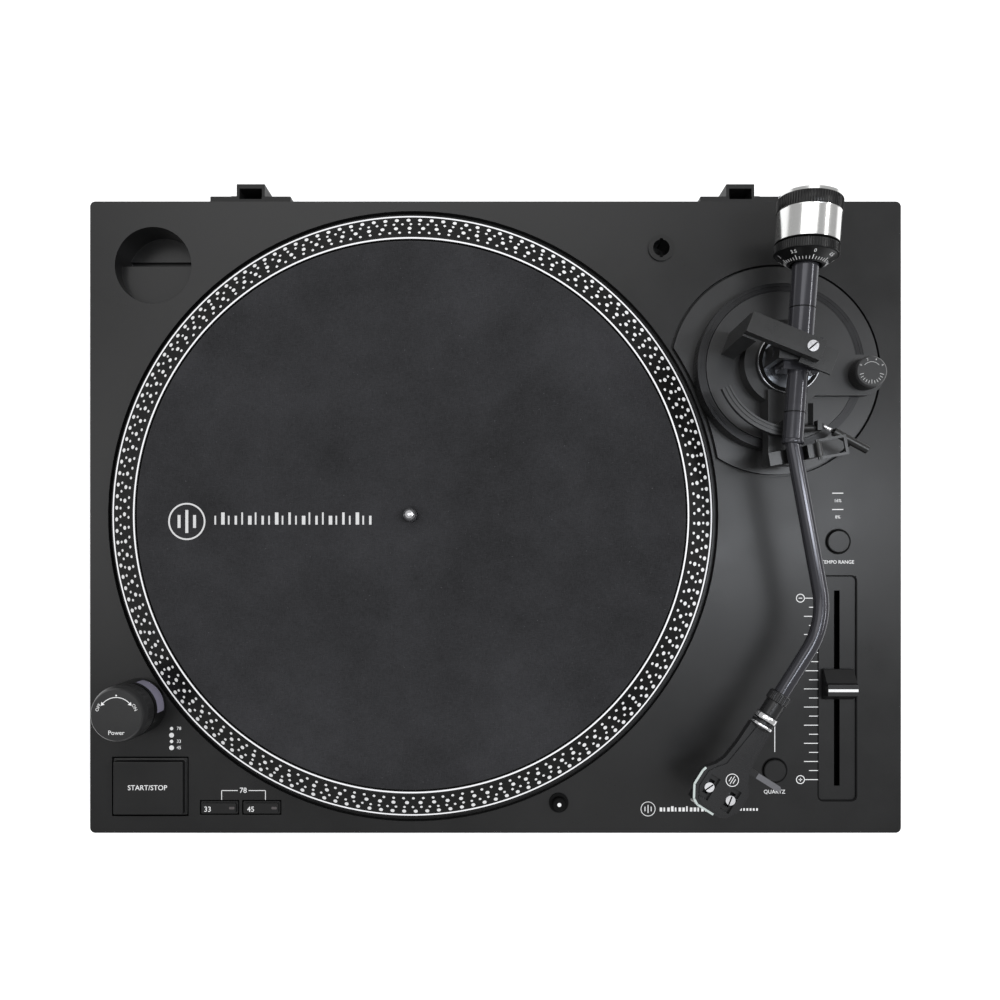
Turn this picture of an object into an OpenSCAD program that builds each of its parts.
// Direct-drive record player: two-part plinth on four screw feet, platter on a
// motor spindle, S-shaped tonearm on a height-adjustable gimbal base.
// Frame: +Z up, origin on the floor under the middle of the overall footprint,
// +X to the tonearm side, +Y to the hinge side at the back.

/* [Plinth] */
// Overall width of the plinth
plinth_w = 452; // [440:1:560]
// Depth of the plinth, front to back
plinth_d = 352; // [344:1:440]
// Radius of the plinth's upright corners
corner_r = 3; // [2:0.5:6]
// Height of the upper shell
shell_h = 43; // [40:1:60]
// Height of the bottom tray
tray_h = 22; // [18:1:34]
// Thickness of the deck, the top of the upper shell
deck_t = 8; // [7:0.5:10]
// Thickness of the upper shell's side walls
shell_wall = 3; // [2.5:0.5:5]
// How far the bottom tray stands back from the shell's sides
tray_inset = 4; // [3.2:0.2:6]
// Thickness of the bottom tray's walls and floor
tray_wall = 4; // [3:0.5:6]

/* [Feet] */
// Height of a foot screwed right in
foot_h = 28; // [24:1:36]
// Radius of a foot
foot_r = 29; // [24:1:34]
// Distance of a foot's centre from the plinth's side and front or back
foot_in = 52; // [44:1:62]
// Radius of a foot's threaded stud
foot_stud_r = 5; // [4:0.5:7]

/* [Platter] */
// Radius of the platter
platter_r = 166; // [150:1:168]
// Radius of the felt slipmat
mat_r = 149.3; // [130:0.1:149.4]
// Thickness of the slipmat
mat_t = 2.2; // [1.5:0.1:4]
// Depth of the round well in the deck that the platter sits in
well_depth = 4; // [3:0.5:5]
// Gap between the platter's rim and the well
well_gap = 4; // [3:0.5:6]
// Height of the platter's outer edge above the deck
rim_h = 5.5; // [4.5:0.5:8]
// Height of the ridge round the slipmat above the deck
ridge_h = 12.7; // [11:0.1:16]
// Radius of the centre pin that the record's hole fits
pin_r = 3.6; // [3.5:0.05:3.65]
// How far the centre pin stands above the slipmat
pin_h = 12; // [9:0.5:14]
// Distance of the spindle from the plinth's middle, to the left
spindle_left = 45.9; // [44:0.1:47]

/* [Tonearm] */
// Distance of the arm's pivot right of the plinth's middle
pivot_x = 155.5; // [154:0.1:158]
// Distance of the arm's pivot behind the plinth's middle
pivot_y = 81.5; // [79:0.1:84]
// Height of the arm's axis above the deck
arm_h = 40; // [40:0.5:43]
// Angle between the parked arm and the plinth's side
park_angle = 4.2; // [3:0.1:6]
// Outer radius of the arm tube
tube_r = 4; // [3.6:0.1:4.4]
// Outer radius of the sleeve at the pivot end
sleeve_r = 5.3; // [5:0.1:5.4]
// Outer radius of the rear tube
rear_r = 6.7; // [6:0.1:7]
// Radius of the flush round plate under the arm
arm_plate_r = 57.8; // [54:0.1:60]
// Outer radius of the knurled height ring
height_ring_r = 45.5; // [44:0.5:47]
// Radius of the counterweight
weight_r = 16.1; // [14:0.1:17]
// Drop from the arm's axis to the stylus tip
stylus_drop = 21; // [20:0.5:21.5]

/* [Controls] */
// Length of the tempo fader's recess
fader_len = 124.8; // [122:0.2:128]
// Width of the tempo fader's recess
fader_w = 20.8; // [19:0.2:24]
// Travel of the tempo fader each way from its middle
fader_travel = 50.5; // [40:0.5:51]
// Radius of the two round push buttons
round_button_r = 6.2; // [5:0.1:7]
// Gap all round a push button
button_gap = 0.6; // [0.4:0.1:0.8]
// Radius of the power tower
tower_r = 15.3; // [14:0.1:17]

/* [Rear] */
// How far the dust-cover hinge sockets stand out behind
hinge_reach = 10.5; // [8:0.5:12]
// Distance of each hinge socket from the middle
hinge_x = 137; // [130:1:145]
// Radius of a phono socket's outer shell
rca_r = 4.15; // [4:0.05:4.3]

/* [Hidden] */
$fn = 64;

slack = 0.03;                              // radial clearance of a running fit
gap = 0.3;                                 // clearance between faces that pass each other
through = 1;                               // how far a cut runs past a face

tray_z = foot_h;                           // underside of the bottom tray
shell_z = tray_z + tray_h;                 // where the shell stands on the tray
deck_z = shell_z + shell_h;                // top of the deck
deck_under = deck_z - deck_t;              // underside of the deck
plinth_cy = -hinge_reach / 2;              // middle of the plinth, as the sockets lie behind it
rear_y = plinth_cy + plinth_d / 2;         // the shell's back face
front_y = plinth_cy - plinth_d / 2;        // the shell's front face

spindle_at = [-spindle_left, plinth_cy + 0.5, 0];
pivot_at = [pivot_x, plinth_cy + pivot_y, 0];
tower_at = [-plinth_w / 2 + 27.3, front_y + 71, 0];
adaptor_at = [-plinth_w / 2 + 35.1, rear_y - 35.6, 0];
adaptor_r = 21.3;
adaptor_deep = 19;                         // depth of the rear half of the adaptor well
adaptor_shallow = 9.5;                     // depth of the front half, which tips the adaptor up
adaptor_step = 2.4;                        // the step's distance behind the well's middle
holder_at = [92.2, rear_y - 26.2, 0];
lamp_at = [35.2, front_y + 17, 0];
tempo_at = [plinth_w / 2 - 35.2, plinth_cy - 13.6, 0];
quartz_at = [plinth_w / 2 - 70.5, front_y + 34.9, 0];
fader_at = [plinth_w / 2 - 35.5, plinth_cy - 95.4, 0];
start_at = [-plinth_w / 2 + 33.6, front_y + 25.9, 0];
start_size = [42.6, 33.1];
start_proud = 3.6;
start_ledge = 1.4;                         // step round the cap, level with the deck
speed_size = [21.8, 8.2];                  // opening of each speed key
speed_33_at = [-plinth_w / 2 + 72.2, front_y + 14.2, 0];
speed_45_at = [-plinth_w / 2 + 95.7, front_y + 14.2, 0];
speed_proud = 1.4;
speed_ledge = 0.8;
window_size = [3, 1.4];                    // lamp window in each speed key's cap
window_t = 1;
window_shift = 7.2;                        // from a key's middle to its window's middle
foot_x = plinth_w / 2 - foot_in;
foot_y = plinth_d / 2 - foot_in;

well_r = platter_r + well_gap;
mat_z = deck_z + ridge_h - mat_t + 0.2;    // top face of the platter, under the slipmat
plate_low = mat_z - 5.5;                   // underside of the platter's web
hub_r = 18;
motor_r = 58;                              // hole in the deck for the motor
motor_plate_t = 3;
bearing_r = 9;
shaft_r = 4;
bearing_low = tray_z + tray_wall + 6;      // the spindle's bearing hangs under the motor plate

arm_z = deck_z + arm_h;
stem_r = 22;                               // the arm base slides up and down on this stem
disc_r = 40.8;
disc_top = 12;                             // heights above the deck
hub_top = 22;
bend_1 = 14.6;                             // the tube turns outwards
bend_2 = -42.6;                            // then back inwards past straight
bend_1_u = 44.5;                           // distance from the pivot to the first bend
bend_1_r = 26;
bend_2_r = 44;
leg_len = 94.5;                            // from the first bend's corner to the second's
rest_u = 51;                               // where the cradle holds the tube
rest_v = (rest_u - bend_1_u) * tan(bend_1);
swing_gap = 0.4;                           // the tube passes over the cradle's low side
yoke_turn = -22;                           // the bridge over the pivot stands askew
tube_end = 46;                             // along the last leg, from the second bend's corner
collar_from = 43;
shell_from = 60;                           // back face of the headshell
screw_s = 103;                             // cartridge screws, along the last leg
screw_pitch = 12.7;                        // standard half-inch cartridge mount
tip_s = 112.5;                             // stylus tip
shell_low = 3.4;                           // underside of the headshell below the arm's axis

dial_from = 46;                            // front of the force dial, behind the pivot
dial_to = 55.6;
weight_to = 81.5;                          // back of the counterweight
hub_shaft_r = 4.5;
hub_outer_r = 8;

lift_r = 38.5;                             // radius of the lifter's arc round the pivot
lift_top = arm_h - sleeve_r - 1.3;         // top of the lowered lifter above the deck
bar_w = 19;                                // bar that carries the arm rest
bar_x = pivot_x - 2;
bar_top = 26;                              // heights above the deck
bar_low = 16;
cue_y = pivot_at[1] - 34.5;                // axis of the cue lever
cue_z = deck_z + 19;
cue_r = 1.8;
cam_r = 3;                                 // round cam on the cue lever's shaft
cam_throw = 1.5;                           // its centre's distance from the shaft's
lift_post = [pivot_x - 5.5, cue_y];
lift_post_r = 2.2;
knob_at = [pivot_x + 43, pivot_at[1] - 5.6];
knob_r = 8.4;
knob_low = 17;

clip_at = [0, 10.6, tube_r + 1.2];         // the clip's hinge in the rest's frame
clip_reach = 14.5;

window_from = -8;                          // the tower's window spans these angles
window_to = 78;
slot_w = 3.2;                              // the fader's slot and the blade in it
blade_w = 2.4;
blade_d = 4;
slot_len = 2 * fader_travel + blade_d + 4;

jack_x = -30;                              // middle of the jack panel
jack_z = shell_z + 19;
jack_w = 150;
jack_h = 22;
panel_y = rear_y - shell_wall;             // inner face of the jack panel
rca_x = [jack_x - 54, jack_x - 40];
ground_x = jack_x - 22;
switch_x = jack_x + 2;
usb_x = jack_x + 28;
dc_x = jack_x + 56;

function deck(h) = deck_z + h;

// ---- shared shapes ----

module rounded(w, d, h, r) {
    linear_extrude(h) {
        square([w - 2 * r, d], center = true);
        square([w, d - 2 * r], center = true);
        for (x = [-1, 1], y = [-1, 1])
            translate([x * (w / 2 - r), y * (d / 2 - r)]) circle(r);
    }
}

module tube(r_out, r_in, h) {
    difference() {
        cylinder(r = r_out, h = h);
        translate([0, 0, -through]) cylinder(r = r_in, h = h + 2 * through);
    }
}

// The parked arm's own frame: X forwards along the arm, Y to its right, origin on the pivot.
module on_arm() {
    translate([pivot_at[0], pivot_at[1], arm_z]) rotate([0, 0, -90 - park_angle]) children();
}

// The last straight leg of the arm: X along the leg from the second bend's corner.
module on_head() {
    on_arm() translate([bend_1_u, 0, 0]) rotate([0, 0, bend_1])
        translate([leg_len, 0, 0]) rotate([0, 0, bend_2]) children();
}

// A rod lying along X.
module rod(r, from, to) {
    translate([from, 0, 0]) rotate([0, 90, 0]) cylinder(r = r, h = to - from);
}

// A turned piece lying along X, from [distance, radius] points.
module turned(points) {
    rotate([0, 90, 0]) rotate_extrude() polygon([for (p = points) [p[1], p[0]]]);
}

// ---- plinth ----

module base_bosses(r, z, h) {
    for (x = [-1, 1], y = [front_y + 54, plinth_cy + 10, rear_y - 18])
        translate([x * (plinth_w / 2 - 12), y, z]) cylinder(r = r, h = h);
}

module key_hole(at, size) {
    translate([at[0] - size[0] / 2, at[1] - size[1] / 2, deck_under - through])
        cube([size[0], size[1], deck_t + 2 * through]);
}

module top_plinth() {
    cup_r = adaptor_r + 2.2;
    color("#2d2d2d")
    difference() {
        union() {
            difference() {
                translate([0, plinth_cy, shell_z]) rounded(plinth_w, plinth_d, shell_h, corner_r);
                translate([0, plinth_cy, shell_z + 4])
                    rounded(plinth_w - 2 * shell_wall, plinth_d - 2 * shell_wall,
                        shell_h - deck_t - 4, 2);
                translate([0, plinth_cy, shell_z - through])
                    rounded(plinth_w - 2 * shell_wall - 10, plinth_d - 2 * shell_wall - 10,
                        shell_h - deck_t, 2);
            }
            base_bosses(5, shell_z + 3, shell_h - deck_t);
            translate([adaptor_at[0], adaptor_at[1], deck(-adaptor_deep - 6)])
                cylinder(r = cup_r, h = adaptor_deep);
        }
        // platter well and motor hole
        translate([spindle_at[0], spindle_at[1], deck(-well_depth)])
            cylinder(r = well_r, h = well_depth + through);
        translate([spindle_at[0], spindle_at[1], deck_under - through])
            cylinder(r = motor_r, h = deck_t);
        // tonearm plate recess, kept clear of the well, and the hole for the stem
        translate([0, 0, deck(-3)]) difference() {
            translate(pivot_at) cylinder(r = arm_plate_r + 1.4, h = 3 + through);
            translate([spindle_at[0], spindle_at[1], -through])
                cylinder(r = well_r + 1.5, h = 3 + 3 * through);
        }
        translate([pivot_at[0], pivot_at[1], deck_under - through])
            cylinder(r = stem_r + 6, h = deck_t);
        // adaptor well: a deep rear half, a shallow front half and a groove at the step's foot
        translate([adaptor_at[0], adaptor_at[1], deck(-adaptor_shallow)])
            cylinder(r = adaptor_r, h = adaptor_shallow + through);
        translate([adaptor_at[0], adaptor_at[1], deck(-adaptor_deep)]) intersection() {
            cylinder(r = adaptor_r, h = adaptor_deep);
            translate([-adaptor_r, adaptor_step, 0]) cube([2 * adaptor_r, adaptor_r, adaptor_deep]);
        }
        translate([adaptor_at[0], adaptor_at[1], deck(-adaptor_deep - 3)]) intersection() {
            cylinder(r = adaptor_r, h = 4);
            translate([-adaptor_r, adaptor_step, 0]) cube([2 * adaptor_r, 5.2, 4]);
        }
        // controls
        key_hole(start_at, start_size);
        key_hole(speed_33_at, speed_size);
        key_hole(speed_45_at, speed_size);
        translate([fader_at[0] - fader_w / 2, fader_at[1] - fader_len / 2, deck(-2)])
            cube([fader_w, fader_len, 2 + through]);
        translate([fader_at[0] - 7, fader_at[1] - fader_len / 2 + 3, deck_under - through])
            cube([14, fader_len - 6, deck_t]);
        for (at = [tempo_at, quartz_at])
            translate([at[0], at[1], deck_under - through])
                cylinder(r = round_button_r + button_gap, h = deck_t + 2 * through);
        translate([lamp_at[0], lamp_at[1], deck_under - through])
            cylinder(r = 5, h = deck_t + 2 * through);
        translate([holder_at[0], holder_at[1], deck_under - through])
            cylinder(r = 6, h = deck_t + 2 * through);
        translate([tower_at[0], tower_at[1], deck_under - through])
            cylinder(r = 8, h = deck_t + 2 * through);
        // opening for the jack panel in the back wall
        translate([jack_x - jack_w / 2, rear_y - shell_wall - through, jack_z - jack_h / 2])
            cube([jack_w, shell_wall + 2 * through, jack_h]);
        // pilot holes for the base screws
        base_bosses(1.6, shell_z - through, 26);
    }
}

module bottom_base() {
    w = plinth_w - 2 * tray_inset;
    d = plinth_d - 2 * tray_inset;
    color("#1c1c1c")
    difference() {
        union() {
            difference() {
                translate([0, plinth_cy, tray_z]) rounded(w, d, tray_h, corner_r);
                translate([0, plinth_cy, tray_z + tray_wall])
                    rounded(w - 2 * tray_wall, d - 2 * tray_wall, tray_h, 2);
            }
            base_bosses(6, tray_z + 1, tray_h - 1);
            for (x = [-1, 1], y = [-1, 1])
                translate([x * foot_x, plinth_cy + y * foot_y, tray_z + 1])
                    cylinder(r = foot_stud_r + 4, h = 15);
        }
        base_bosses(1.9, tray_z - through, tray_h + 2 * through);
        base_bosses(4, tray_z - through, through + 4);
        for (x = [-1, 1], y = [-1, 1])
            translate([x * foot_x, plinth_cy + y * foot_y, tray_z - through])
                cylinder(r = foot_stud_r + slack, h = 15);
    }
}

module base_screws() {
    color("#8a8a8a") {
        base_bosses(1.55, tray_z + 3.5, tray_h + 16);
        base_bosses(3.6, tray_z + 1.5, 2.5);
    }
}

module foot(x, y) {
    color("#161616") translate([x * foot_x, plinth_cy + y * foot_y, 0]) {
        rotate_extrude() polygon([[0, 0], [foot_r - 3, 0], [foot_r - 1, 2.5], [foot_r, 6],
            [foot_r, foot_h - 8], [foot_r - 2, foot_h - 5], [foot_r - 9, foot_h - 0.6],
            [0, foot_h - 0.6]]);
        translate([0, 0, foot_h - 1]) cylinder(r = foot_stud_r, h = 14);
    }
}

module foot_front_left() foot(-1, -1);
module foot_front_right() foot(1, -1);
module foot_rear_left() foot(-1, 1);
module foot_rear_right() foot(1, 1);

// ---- drive ----

module motor_plate() {
    color("#9a9a9a")
    translate([spindle_at[0], spindle_at[1], deck_under - motor_plate_t]) difference() {
        cylinder(r = motor_r + 10, h = motor_plate_t);
        translate([0, 0, -through]) cylinder(r = bearing_r, h = motor_plate_t + 2 * through);
        for (a = [0:120:240]) rotate([0, 0, a])
            translate([motor_r + 5, 0, -through]) cylinder(r = 2, h = motor_plate_t + 2 * through);
    }
}

module motor_stator() {
    coils = 12;
    color("#b87333") translate([spindle_at[0], spindle_at[1], deck_under]) {
        tube(20, bearing_r + 2, 4);
        for (i = [0:coils - 1]) rotate([0, 0, i * 360 / coils])
            translate([18, -3.5, 0]) cube([18, 7, 4]);
        tube(40, 35, 4);
    }
}

module spindle_bearing() {
    color("#b08d4a") translate([spindle_at[0], spindle_at[1], bearing_low]) difference() {
        union() {
            cylinder(r = bearing_r, h = deck_under - bearing_low + 2);
            translate([0, 0, deck_under - bearing_low - motor_plate_t - 2])
                cylinder(r = bearing_r + 5, h = 2);
        }
        translate([0, 0, 2])
            cylinder(r = shaft_r + slack, h = deck_under - bearing_low + through);
    }
}

module rotor_magnet() {
    color("#3a3a3c") translate([spindle_at[0], spindle_at[1], deck(-2)])
        tube(52, 44, plate_low - deck(-2));
}

module platter() {
    skirt = 5;                             // thickness of the rim's skirt
    low = deck(-2.6);
    color("#3c3c3e") translate([spindle_at[0], spindle_at[1], 0]) rotate_extrude($fn = 128)
        polygon([[shaft_r, plate_low - 4], [hub_r, plate_low - 4], [hub_r, plate_low],
            [platter_r - skirt - 7, plate_low], [platter_r - skirt, plate_low - 4.5],
            [platter_r - skirt, low], [platter_r - 0.8, low], [platter_r - 0.2, low + 0.8],
            [platter_r - 0.2, deck(rim_h) - 1.4], [platter_r, deck(rim_h) - 1],
            [platter_r, deck(rim_h) - 0.3], [platter_r - 0.5, deck(rim_h)],
            [platter_r - 1.6, deck(rim_h)],
            [mat_r + 2.4, deck(ridge_h) - 0.6], [mat_r + 2, deck(ridge_h) - 0.1],
            [mat_r + 1.8, deck(ridge_h)], [mat_r + 0.9, deck(ridge_h)],
            [mat_r + 0.6, deck(ridge_h) - 0.2], [mat_r + 0.5, mat_z], [shaft_r, mat_z]]);
}

module spindle() {
    tip = mat_z + mat_t + pin_h;
    color("#c9c9cc") translate([spindle_at[0], spindle_at[1], 0]) rotate_extrude()
        polygon([[0, bearing_low + 2.5], [1.5, bearing_low + 2.5], [shaft_r, bearing_low + 4.5],
            [shaft_r, mat_z - 0.5], [pin_r - 0.4, mat_z], [pin_r - 0.4, mat_z + mat_t],
            [pin_r, mat_z + mat_t + 0.3], [pin_r, tip - 4], [pin_r - 0.5, tip - 2],
            [pin_r - 1.5, tip - 0.7], [pin_r - 2.8, tip], [0, tip]]);
}

module slipmat() {
    color("#262626") translate([spindle_at[0], spindle_at[1], mat_z]) tube(mat_r, pin_r + 0.1, mat_t);
}

module circuit_boards() {
    board = [150, 90, 1.6];
    board_z = tray_z + tray_wall + 6;
    color("#2f6b3c") {
        translate([-10, rear_y - 120, board_z]) cube(board);
        translate([-plinth_w / 2 + 21, front_y + 12, deck(-24)]) cube([98, 44, 1.6]);
    }
    color("#222222") {
        for (x = [0:3]) translate([x * 34, rear_y - 100, board_z + 1.6]) cube([16, 12, 8]);
        translate([-plinth_w / 2 + 24, front_y + 48, deck(-22.4)]) cube([30, 6, 4]);
    }
    color("#b0b0b0") {
        for (x = [-1, 1], y = [-1, 1])
            translate([65 + x * 68, rear_y - 75 + y * 38, tray_z + tray_wall])
                cylinder(r = 3, h = 6);
        for (x = [57.8, 115], y = [16, 52])
            translate([-plinth_w / 2 + x, front_y + y, deck(-22.4)])
                cylinder(r = 2.4, h = 22.4 - deck_t);
    }
}

// ---- power tower ----

module strobe_housing() {
    color("#1e1e1e") translate([tower_at[0], tower_at[1], deck_z]) {
        difference() {
            union() {
                cylinder(r = tower_r, h = 16);
                translate([0, 0, -14]) cylinder(r = 7.6, h = 15);
            }
            translate([0, 0, 3]) rotate([0, 0, window_from])
                rotate_extrude(angle = window_to - window_from)
                    translate([tower_r - 2.6, 0]) square([4, 10.5]);
            translate([0, 0, 4]) cylinder(r = 3 + slack, h = 14);
        }
    }
}

module strobe_window() {
    color("#b9a3ff") translate([tower_at[0], tower_at[1], deck(3.1)]) rotate([0, 0, window_from + 0.5])
        rotate_extrude(angle = window_to - window_from - 1)
            translate([tower_r - 2.5, 0]) square([2.3, 10.3]);
}

module power_knob() {
    color("#202020") translate([tower_at[0], tower_at[1], deck_z]) {
        rotate_extrude() polygon([[0, 16.4], [tower_r - 0.6, 16.4], [tower_r - 0.3, 17],
            [tower_r - 0.3, 26], [tower_r - 1.3, 29.2], [tower_r - 2, 30.2], [0, 30.2]]);
        translate([0, 0, 4.5]) cylinder(r = 3, h = 12.5);
    }
}

// ---- keys ----

module key(at, size, ledge, proud) {
    w = size[0] - 2 * button_gap;
    d = size[1] - 2 * button_gap;
    translate([at[0], at[1], deck_under - 2]) {
        rounded(w, d, deck_t + 1.8, 0.8);
        rounded(w - 2 * ledge, d - 2 * ledge, deck_t + 2 + proud, 0.8);
        translate([0, 0, -8]) cylinder(r = 1.8, h = 9);
    }
}

module speed_key(at) {
    difference() {
        key(at, speed_size, speed_ledge, speed_proud);
        translate([at[0] + window_shift, at[1], deck(speed_proud) - window_t])
            rounded(window_size[0] + 2 * slack, window_size[1] + 2 * slack, window_t + through, 0.4);
    }
}

module key_window(at) {
    translate([at[0] + window_shift, at[1], deck(speed_proud) - window_t])
        rounded(window_size[0], window_size[1], window_t - 0.1, 0.4);
}

module start_button() color("#262626") key(start_at, start_size, start_ledge, start_proud);
module button_33() color("#262626") speed_key(speed_33_at);
module button_45() color("#262626") speed_key(speed_45_at);
module window_33() color("#401010") key_window(speed_33_at);
module window_45() color("#401010") key_window(speed_45_at);

module round_button(at) {
    color("#262626") translate([at[0], at[1], deck_under - 2]) {
        rotate_extrude() polygon([[0, 0], [round_button_r, 0], [round_button_r, deck_t + 3],
            [round_button_r - 0.5, deck_t + 3.5], [0, deck_t + 3.5]]);
        translate([0, 0, -8]) cylinder(r = 1.8, h = 9);
    }
}

module tempo_button() round_button(tempo_at);
module quartz_button() round_button(quartz_at);

// ---- tempo fader ----

module pitch_panel() {
    color("#181818") translate([fader_at[0], fader_at[1], deck(-2)]) difference() {
        translate([-fader_w / 2 + 0.15, -fader_len / 2 + 0.15, 0])
            cube([fader_w - 0.3, fader_len - 0.3, 1.2]);
        translate([-slot_w / 2, -slot_len / 2, -through]) cube([slot_w, slot_len, 4]);
    }
}

module fader_body() {
    h = 11;
    color("#7d7d80") translate([fader_at[0], fader_at[1], deck_under - h]) difference() {
        translate([-8, -fader_len / 2, 0]) cube([16, fader_len, h]);
        translate([-6, -fader_len / 2 + 2, 1.5]) cube([12, fader_len - 4, h]);
    }
}

module pitch_fader() {
    color("#2a2a2a") translate([fader_at[0], fader_at[1], 0]) {
        translate([-blade_w / 2, -blade_d / 2, deck_under - 6])
            cube([blade_w, blade_d, deck_t + 8]);
        translate([8.5, 0, deck(0.4)]) rotate([0, -90, 0]) linear_extrude(17)
            polygon([[0, -6.2], [6.6, -3.6], [8.4, -3.2], [8.4, 3.2], [6.6, 3.8], [1.6, 11], [0, 11]]);
    }
}

// ---- lamp and headshell holder ----

module lamp_collar() {
    color("#c8c8cc") translate([lamp_at[0], lamp_at[1], deck_z]) difference() {
        union() {
            translate([0, 0, -22]) cylinder(r = 4.8, h = 22.5);
            cylinder(r = 5.4, h = 1);
        }
        translate([0, 0, -21]) cylinder(r = 3.75 + slack, h = 24);
    }
}

module target_lamp() {
    color("#c0c0c4") translate([lamp_at[0], lamp_at[1], deck_z]) rotate_extrude()
        polygon([[0, -20.5], [3.75, -20.5], [3.75, 4.4], [3.2, 5], [0, 5]]);
}

module headshell_holder() {
    color("#1d1d1d") translate([holder_at[0], holder_at[1], deck_z]) difference() {
        union() {
            translate([0, 0, -16]) cylinder(r = 5.9, h = 17);
            cylinder(r = 7.2, h = 1.2);
        }
        translate([0, 0, -14.5]) cylinder(r = 4.6, h = 17);
        translate([-0.9, -5.3, -14.5]) cube([1.8, 10.6, 17]);
    }
}

// ---- back ----

module hinge_socket(side) {
    flange_t = 3.4;
    box_w = 15.8;
    box_h = 32;
    color("#151515") translate([side * hinge_x, rear_y, deck(-36)]) difference() {
        union() {
            translate([-22.5, 0, 0]) cube([45, flange_t, 34.5]);
            translate([-box_w / 2, 0, 2]) cube([box_w, hinge_reach, box_h]);
            translate([side * box_w / 2 - (side < 0 ? 4 : 0), 0, 2]) cube([4, 5, box_h - 3]);
        }
        translate([-box_w / 2 + 1.7, 2, 7]) cube([box_w - 3.4, hinge_reach - 4.6, box_h + 2]);
    }
}

module hinge_sockets() for (side = [-1, 1]) hinge_socket(side);

module jack_panel() {
    color("#1a1a1a") difference() {
        union() {
            translate([jack_x - jack_w / 2 + 0.2, panel_y + 0.6, jack_z - jack_h / 2 + 0.2])
                cube([jack_w - 0.4, shell_wall - 1, jack_h - 0.4]);
            translate([jack_x - jack_w / 2 - 4, panel_y - 1.6, jack_z - jack_h / 2 - 3.8])
                cube([jack_w + 8, 1.6, jack_h + 7.6]);
            translate([jack_x - jack_w / 2 + 0.2, panel_y - 0.1, jack_z - jack_h / 2 + 0.2])
                cube([jack_w - 0.4, 0.8, jack_h - 0.4]);
        }
        for (x = rca_x) panel_hole(x, rca_r - 0.6);
        panel_hole(ground_x, 2);
        panel_slot(switch_x, 9, 4.4);
        panel_slot(usb_x, 12, 11);
        panel_hole(dc_x, 4.5);
    }
}

module panel_hole(x, r) {
    translate([x, panel_y - 3, jack_z]) rotate([-90, 0, 0]) cylinder(r = r, h = 8);
}

module panel_slot(x, w, h) {
    translate([x - w / 2, panel_y - 3, jack_z - h / 2]) cube([w, 8, h]);
}

module rca_jacks() {
    color("#b9a36a") for (x = rca_x)
        translate([x, rear_y - 0.4, jack_z]) rotate([-90, 0, 0]) {
            difference() {
                union() {
                    cylinder(r = rca_r, h = 8);
                    translate([0, 0, -7]) cylinder(r = rca_r - 0.6, h = 8);
                }
                translate([0, 0, 1]) tube(3.2, 1.6, 9);
                translate([0, 0, 6]) cylinder(r = 1.7, h = 4);
            }
        }
}

module ground_post() {
    color("#b0b0b4") translate([ground_x, panel_y - 2.6, jack_z]) rotate([-90, 0, 0]) {
        cylinder(r = 2, h = 13.6);
        cylinder(r = 4, h = 1);
    }
}

module ground_nut() {
    color("#d0d0d4") translate([ground_x, rear_y + 1.6, jack_z]) rotate([-90, 0, 0])
        tube(4.4, 2 + slack, 5);
}

module line_switch() {
    color("#101010") {
        translate([switch_x - 3.6, rear_y - 6, jack_z - 2]) cube([4, 8, 4]);
        translate([switch_x - 5.2, panel_y - 4, jack_z - 3.4]) cube([7.2, 2, 6.8]);
    }
}

module usb_port() {
    color("#a8a8ac") difference() {
        translate([usb_x - 6, rear_y - 14, jack_z - 5.5]) cube([12, 13.4, 11]);
        translate([usb_x - 4.2, rear_y - 10, jack_z - 4]) cube([8.4, 12, 8]);
    }
    color("#e8e8e8") translate([usb_x - 2.8, rear_y - 11, jack_z - 1.6]) cube([5.6, 8.5, 3.2]);
}

module dc_jack() {
    color("#121212") translate([dc_x, rear_y - 13, jack_z]) rotate([-90, 0, 0]) {
        difference() {
            cylinder(r = 4.5, h = 12.4);
            translate([0, 0, 3]) cylinder(r = 2.9, h = 12);
        }
        cylinder(r = 1, h = 10.5);
    }
}

// ---- tonearm base ----

module arm_base_plate() {
    color("#2f2f30") difference() {
        translate([pivot_at[0], pivot_at[1], deck(-3)]) tube(arm_plate_r, stem_r + slack, 3.6);
        translate([spindle_at[0], spindle_at[1], deck(-4)]) cylinder(r = well_r + 2.8, h = 6);
    }
}

module height_ring() {
    color("#1f1f20") translate([pivot_at[0], pivot_at[1], deck(0.9)])
        tube(height_ring_r, disc_r + gap, 10.6);
}

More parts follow.
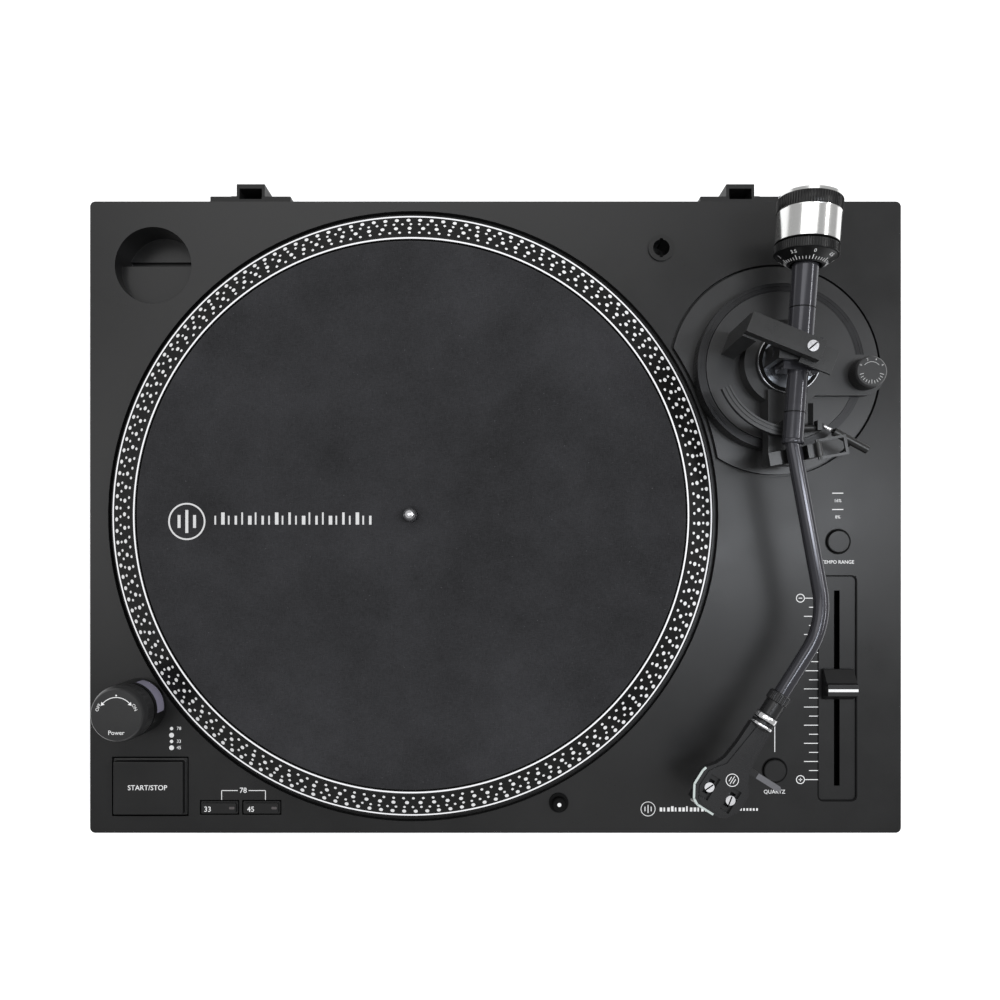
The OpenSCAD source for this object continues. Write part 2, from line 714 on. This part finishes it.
module arm_pillar() {
    color("#3a3a3b") difference() {
        union() {
            translate([pivot_at[0], pivot_at[1], deck(-24)]) cylinder(r = stem_r, h = 34);
            translate([pivot_at[0], pivot_at[1], deck(2)]) cylinder(r = disc_r, h = disc_top - 2);
            translate([pivot_at[0], pivot_at[1], deck(disc_top - 1)])
                cylinder(r = 23, h = hub_top - disc_top + 1);
            // bar to the arm rest
            translate([bar_x - bar_w / 2, pivot_at[1] - 55, deck(bar_low)])
                cube([bar_w, 40, bar_top - bar_low]);
            translate([bar_x - bar_w / 2, pivot_at[1] - 32, deck(11)])
                cube([bar_w, 20, bar_low - 10]);
            // arm to the anti-skate knob
            translate([pivot_at[0], knob_at[1] - 11, deck(disc_top - 0.2)])
                cube([knob_at[0] - pivot_at[0], 22, knob_low - 0.3 - disc_top]);
            translate([knob_at[0], knob_at[1], deck(disc_top - 0.2)])
                cylinder(r = 11, h = knob_low - 0.3 - disc_top);
        }
        // seats of the turning parts
        translate([pivot_at[0], pivot_at[1], deck(4)]) cylinder(r = 4 + slack, h = 30);
        translate([pivot_at[0], pivot_at[1], deck(-25)]) cylinder(r = 12, h = 22);
        translate([knob_at[0], knob_at[1], deck(10)]) cylinder(r = 2.5 + slack, h = 8);
        // pocket and bores of the cue lift
        translate([pivot_x - 9, cue_y - 9, deck(bar_low - 1)]) cube([12.5, 14, 8.5]);
        translate([lift_post[0], lift_post[1], deck(bar_low)])
            cylinder(r = lift_post_r + slack, h = 12);
        translate([pivot_x - 8, cue_y, cue_z]) rod(cue_r + slack, 0, 22);
        translate([pivot_at[0], pivot_at[1], deck(hub_top)]) cylinder(r = 17.6, h = 6);
    }
}

module arm_bridge() {
    leg_x = -33;
    bar_len = 39;
    bar_d = 10.4;
    step_d = 12.6;
    color("#161616") translate([pivot_at[0], pivot_at[1], 0]) rotate([0, 0, yoke_turn])
    difference() {
        union() {
            translate([leg_x, -bar_d / 2, deck(53.5)]) cube([bar_len, bar_d, 6]);
            translate([leg_x, -step_d / 2, deck(disc_top)]) cube([7.5, step_d, 42]);
            translate([-2, -step_d / 2 - 1.5, deck(52)]) cube([17, step_d, 1.7]);
        }
        translate([0, 0, deck(50)]) cylinder(r = 1.5, h = 12);
    }
}

module pivot_screw() {
    color("#d8d8dc") translate([pivot_at[0], pivot_at[1], 0]) {
        translate([0, 0, deck(50)]) cylinder(r = 1.5, h = 10);
        translate([0, 0, deck(59.5)]) cylinder(r = 2.8, h = 1.2);
    }
}

module antiskate_knob() {
    color("#202021") translate([knob_at[0], knob_at[1], deck_z]) {
        translate([0, 0, 12.1]) cylinder(r = 2.5, h = 5.4);
        rotate_extrude() polygon([[0, knob_low], [knob_r, knob_low], [knob_r, 25.6],
            [knob_r - 0.8, 26.6], [0, 26.6]]);
    }
}

module cue_lever() {
    grip_turn = -28.5;
    grip_z = deck(22) - cue_z;
    color("#1a1a1a") translate([0, cue_y, cue_z]) {
        translate([pivot_x - 7.6, 0, 0]) rod(cue_r, 0, 24.4);
        translate([pivot_x + 15.6, -1.6, -1.6]) cube([2.4, 5.2, grip_z + 3]);
        translate([pivot_x - 5.5, -cam_throw, 0]) rod(cam_r, -1.7, 1.7);
        translate([pivot_x + 16.2, 2.2, grip_z]) rotate([0, 0, grip_turn]) rod(1, 0, 11);
        translate([pivot_x + 16.2, 2.2, grip_z]) rotate([0, 0, grip_turn]) rod(2.2, 9.6, 30);
    }
}

module lift_platform() {
    color("#2b2b2b") {
        translate([lift_post[0], lift_post[1], cue_z + cam_r + gap])
            cylinder(r = lift_post_r, h = deck(lift_top - 1) - cue_z - cam_r - gap);
        translate([pivot_at[0], pivot_at[1], deck(lift_top - 3.4)]) rotate([0, 0, 203])
            rotate_extrude(angle = 72)
                translate([lift_r - 2.5, 0]) polygon([[0, 0], [5, 0], [5, 3.4], [3.9, 3.4],
                    [3.9, 2.8], [3, 2.8], [3, 3.4], [2, 3.4], [2, 2.8], [1.1, 2.8], [1.1, 3.4], [0, 3.4]]);
    }
}

module on_rest() {
    on_arm() translate([rest_u, rest_v, 0]) rotate([0, 0, bend_1]) children();
}

module arm_rest() {
    floor_z = -tube_r - 2;                 // under the tube, which dips a little to play
    low_side = tube_r + swing_gap;         // the tube passes over the inner side
    color("#191919") on_rest() difference() {
        union() {
            translate([-3.5, -12, floor_z - 3]) cube([7, 24, 3]);
            translate([-3.5, -12, floor_z - 1]) cube([7, 6.4, -floor_z + 1 - low_side]);
            // tall outer side, which stops the arm and carries the clip
            translate([-3.5, 5.6, floor_z - 1]) cube([7, 6.4, tube_r - 0.6 - floor_z + 1]);
            translate([-3.5, clip_at[1] - 1.6, 0]) cube([7, 3.2, clip_at[2]]);
            translate(clip_at) rod(1.6, -3.5, 3.5);
            translate([-3.2, -7, bar_top - arm_h]) cube([6.4, 14, arm_h - bar_top + floor_z - 1]);
        }
        translate(clip_at) rod(0.9 + slack, -6, 6);
    }
}

module rest_clip() {
    color("#111111") on_rest() translate(clip_at) {
        rod(0.9, -5.1, 5.1);
        for (side = [-1, 1])
            translate([side * 4.45 - 0.65, -1.1, -0.7]) cube([1.3, clip_reach + 1.1, 1.4]);
        translate([-5.1, clip_reach - 1.5, -0.7]) cube([10.2, 1.5, 1.4]);
    }
}

// ---- tonearm ----

module gimbal_frame() {
    ear_in = 10.5;
    ear_t = 3;
    color("#2a2a2c") {
        translate([pivot_at[0], pivot_at[1], deck_z]) {
            translate([0, 0, 5]) cylinder(r = 4, h = 18);
            translate([0, 0, hub_top + gap]) cylinder(r = 17, h = 2.6);
        }
        on_arm() difference() {
            union() {
                for (side = [-1, 1])
                    translate([-5, side * (ear_in + ear_t / 2) - ear_t / 2, 24 - arm_h])
                        cube([10, ear_t, 27.2]);
                translate([-5, -ear_in - ear_t, 48.4 - arm_h]) cube([10, 2 * (ear_in + ear_t), 2.8]);
            }
            translate([0, 15, 0]) rotate([90, 0, 0]) cylinder(r = 2 + slack, h = 30);
            translate([0, 0, 49.4 - arm_h]) cylinder(r = 1.5 + slack, h = 4);
        }
    }
}

module arc_piece(r_bend, angle, r) {
    // a bend that starts at the origin heading along X and turns by angle
    side = angle > 0 ? 1 : -1;
    translate([0, side * r_bend, 0]) rotate([0, 0, side > 0 ? -90 : 90 + angle])
        rotate_extrude(angle = abs(angle)) translate([r_bend, 0]) circle(r);
}

module arm_tube() {
    run_1 = bend_1_r * tan(bend_1 / 2);
    run_2 = bend_2_r * tan(-bend_2 / 2);
    start = 30;
    lap = 0.4;                             // the straight runs lap over the bends' ends
    bend_tube_r = tube_r - 0.02;           // bending draws the tube in a hair
    color("#1b1b1d") on_arm() {
        rod(tube_r, start, bend_1_u - run_1 + lap);
        translate([bend_1_u - run_1, 0, 0]) arc_piece(bend_1_r, bend_1, bend_tube_r);
        translate([bend_1_u, 0, 0]) rotate([0, 0, bend_1]) {
            rod(tube_r, run_1 - lap, leg_len - run_2 + lap);
            translate([leg_len - run_2, 0, 0]) arc_piece(bend_2_r, bend_2, bend_tube_r);
            translate([leg_len, 0, 0]) rotate([0, 0, bend_2]) rod(tube_r, run_2 - lap, tube_end);
        }
        rod(sleeve_r, 8, bend_1_u + 1);
        translate([-8, -9.5, -6.5]) cube([17, 19, 13]);
        translate([0, 13.4, 0]) rotate([90, 0, 0]) cylinder(r = 2, h = 26.8);
    }
}

module counterweight_shaft() {
    color("#5a5a60") on_arm() {
        rod(rear_r, -dial_from, -8);
        rod(hub_shaft_r, -weight_to + 1, -37);
    }
}

module counterweight_hub() {
    color("#77777b") on_arm() difference() {
        rod(hub_outer_r, -weight_to + 3, -dial_from - 5.6);
        rod(hub_shaft_r + slack, -weight_to, -dial_from);
    }
}

module counterweight() {
    knurl = 6.8;
    rim = 2.3;
    color("#cfcfd2") on_arm() turned([[-weight_to, hub_outer_r + slack],
        [-weight_to, weight_r - 1.2], [-weight_to + 0.8, weight_r - 0.3],
        [-weight_to + rim, weight_r - 0.1], [-weight_to + rim + 0.3, weight_r],
        [-weight_to + rim + knurl, weight_r], [-weight_to + rim + knurl + 0.3, weight_r - 0.1],
        [-dial_to - 0.9, weight_r - 0.1], [-dial_to - 0.4, weight_r - 0.6],
        [-dial_to - 0.4, hub_outer_r + slack]]);
}

module force_dial() {
    color("#1c1c1c") on_arm() turned([[-dial_to, hub_outer_r + slack], [-dial_to, weight_r - 0.5],
        [-dial_to + 0.4, weight_r - 0.1], [-dial_to + 4.8, weight_r - 0.1],
        [-dial_to + 5.1, weight_r - 0.8], [-dial_from + 0.2, hub_outer_r + 0.9],
        [-dial_from + 0.2, hub_outer_r + slack]]);
}

module headshell_collar() {
    color("#232325") on_head() turned([[collar_from, tube_r + slack], [collar_from, 5.2],
        [collar_from + 0.4, 5.6], [collar_from + 5, 5.6], [collar_from + 5.4, 5],
        [collar_from + 12.6, 5], [collar_from + 13, 5.9], [collar_from + 16, 5.9],
        [collar_from + 16.4, 5.5], [collar_from + 16.4, tube_r + slack]]);
}

module headshell() {
    outline = [[shell_from + 3, -5.8], [76, -6.2], [86, -7.4], [91, -9.6], [95, -12.8], [97.5, -13.4],
        [105.5, -13.4], [112, -9.6], [113.6, -6.5], [113.6, 6.5], [112, 9.6], [105.5, 13.4],
        [97.5, 13.4], [95, 12.8], [91, 9.6], [86, 7.4], [76, 6.2], [shell_from + 3, 5.8]];
    color("#1a1a1b") on_head() difference() {
        union() {
            rod(3.95, tube_end + 1, shell_from + 4);
            rod(5.9, shell_from, shell_from + 3.2);
            translate([0, 0, -shell_low]) linear_extrude(5) polygon(outline);
            translate([0, 0, -shell_low]) linear_extrude(5.8)
                polygon([[shell_from + 3, -2.2], [76, -3.8], [88, -5.2], [92, -8.4], [96, -11],
                    [105, -11], [110.6, -8], [112, -5.5], [112, 5.5], [110.6, 9], [105, 12.4],
                    [97.5, 12.4], [95, 11.8], [91, 8.6], [86, 6.4], [76, 5.2], [shell_from + 3, 4.8]]);
            // finger lift
            translate([83.4, 6, -1.2]) cube([3.2, 18.5, 1.3]);
            translate([85, 24.5, -1.2]) cylinder(r = 1.6, h = 1.3);
        }
        for (side = [-1, 1]) {
            translate([screw_s - 4, side * screw_pitch / 2 - 1.4, -shell_low - through])
                cube([8, 2.8, 12]);
            translate([screw_s - 6.4, side * screw_pitch / 2 - 2.7, 0.4]) cube([12.8, 5.4, 12]);
        }
    }
}

module cartridge() {
    top = -shell_low;
    color("#141415") on_head() {
        difference() {
            translate([97, -8.4, top - 10.6]) cube([16.6, 16.8, 10.6]);
            translate([99.4, -5.4, top - 12]) cube([15, 10.8, 7.4]);
            for (side = [-1, 1]) translate([screw_s, side * screw_pitch / 2, top - 12])
                cylinder(r = 1.3, h = 13);
        }
        for (x = [-1, 1], z = [-1, 1])
            translate([0, x * 2.4, top - 3.6 + z * 1.4]) rod(0.6, 92.5, 97.5);
    }
}

module stylus() {
    top = -shell_low - 4.7;
    color("#e8e8ea") on_head() {
        difference() {
            translate([99.7, -5, top - 8.3]) cube([16, 10, 8.2]);
            translate([104, -6, top - 10]) rotate([0, -16, 0]) cube([16, 12, 6.4]);
        }
        translate([102.5, 0, top - 6.3]) rotate([0, 16, 0]) rod(0.4, 0, 10.4);
        translate([tip_s, 0, -stylus_drop]) cylinder(r1 = 0.15, r2 = 0.4, h = 4);
    }
}

module cartridge_screws() {
    color("#d6d6da") on_head() for (side = [-1, 1])
        translate([screw_s, side * screw_pitch / 2, 0]) {
            translate([0, 0, -shell_low - 9.6]) cylinder(r = 1.25, h = 11);
            translate([0, 0, 0.45]) cylinder(r = 2.5, h = 2);
        }
}

top_plinth();
bottom_base();
base_screws();
foot_front_left();
foot_front_right();
foot_rear_left();
foot_rear_right();
motor_plate();
motor_stator();
spindle_bearing();
circuit_boards();
platter();
spindle();
rotor_magnet();
slipmat();
strobe_housing();
strobe_window();
power_knob();
start_button();
button_33();
button_45();
window_33();
window_45();
tempo_button();
quartz_button();
pitch_panel();
fader_body();
pitch_fader();
target_lamp();
lamp_collar();
headshell_holder();
hinge_sockets();
jack_panel();
rca_jacks();
ground_post();
ground_nut();
line_switch();
usb_port();
dc_jack();
arm_base_plate();
height_ring();
arm_pillar();
arm_bridge();
pivot_screw();
antiskate_knob();
cue_lever();
lift_platform();
arm_rest();
rest_clip();
gimbal_frame();
arm_tube();
counterweight_shaft();
counterweight_hub();
counterweight();
force_dial();
headshell_collar();
headshell();
cartridge();
stylus();
cartridge_screws();
